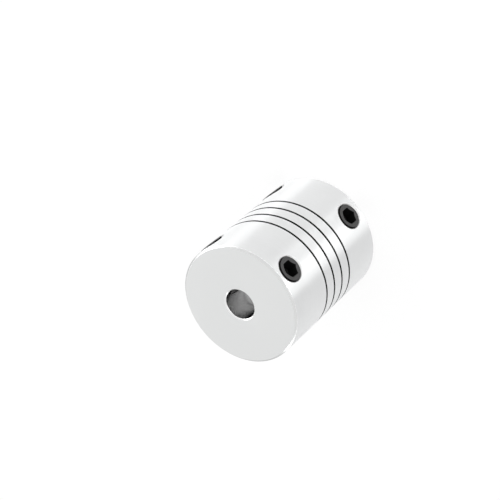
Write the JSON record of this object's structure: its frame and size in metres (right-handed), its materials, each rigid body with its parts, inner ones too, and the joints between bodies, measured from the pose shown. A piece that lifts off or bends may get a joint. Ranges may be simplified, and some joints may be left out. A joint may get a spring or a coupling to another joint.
{
  "type": "flexible shaft coupling",
  "caption": "One-piece helical-beam shaft coupling with a small and a large bore and black hex-socket set screws at both ends.",
  "frame": {"origin": "centre of the large-bore end face, on which the coupling stands", "axes": "+Z along the coupling's axis towards the small-bore end, -Y out through the front row of screws, +X out through the side row"},
  "size_m": [0.02, 0.02, 0.025],
  "materials": {
    "turned_aluminium": "fine turned, bright satin",
    "black_screw_steel": "black oxide, satin"
  },
  "bodies": {
    "coupling": {"coupling_body": "turned_aluminium"},
    "small_bore_front_screw": {"set_screw_small_bore_front": "black_screw_steel"},
    "small_bore_side_screw": {"set_screw_small_bore_side": "black_screw_steel"},
    "large_bore_front_screw": {"set_screw_large_bore_front": "black_screw_steel"},
    "large_bore_side_screw": {"set_screw_large_bore_side": "black_screw_steel"}
  },
  "joints": [
    {"name": "small_bore_front_screw_travel", "type": "slide", "parent": "coupling", "child": "small_bore_front_screw", "axis": [0, 1, 0], "range_m": [-0.0014, 0.0035]},
    {"name": "small_bore_side_screw_travel", "type": "slide", "parent": "coupling", "child": "small_bore_side_screw", "axis": [-1, 0, 0], "range_m": [-0.0014, 0.0035]},
    {"name": "large_bore_front_screw_travel", "type": "slide", "parent": "coupling", "child": "large_bore_front_screw", "axis": [0, 1, 0], "range_m": [-0.0014, 0.001]},
    {"name": "large_bore_side_screw_travel", "type": "slide", "parent": "coupling", "child": "large_bore_side_screw", "axis": [-1, 0, 0], "range_m": [-0.0014, 0.001]}
  ]
}
